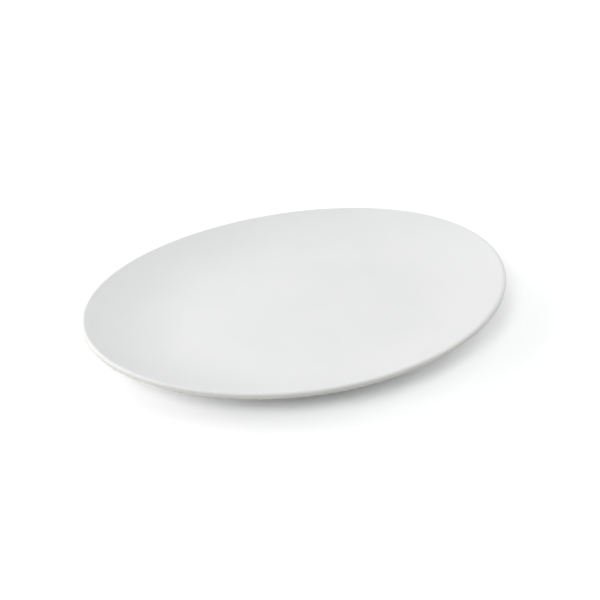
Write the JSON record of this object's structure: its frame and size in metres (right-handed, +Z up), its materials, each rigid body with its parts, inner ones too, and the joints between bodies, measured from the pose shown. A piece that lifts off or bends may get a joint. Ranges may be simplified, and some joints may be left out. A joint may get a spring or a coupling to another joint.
{
  "type": "oval serving platter",
  "caption": "Oval coupe serving platter in white glazed stoneware, flat in the middle and curving up to a thin rounded lip, standing on a bare oval foot ring.",
  "frame": {"origin": "on the table under the middle of the platter, in the plane of the foot ring's standing face", "axes": "+X along the platter's length, +Y across its width, +Z up out of the face"},
  "size_m": [0.36, 0.28, 0.0286],
  "materials": {
    "glaze": "satin white glaze",
    "clay": "bare fired clay, sponged smooth"
  },
  "bodies": {
    "root": {"platter_body": "clay", "foot_ring": "clay", "face_glaze": "glaze", "underside_glaze": "glaze", "recess_glaze": "glaze"}
  },
  "joints": []
}
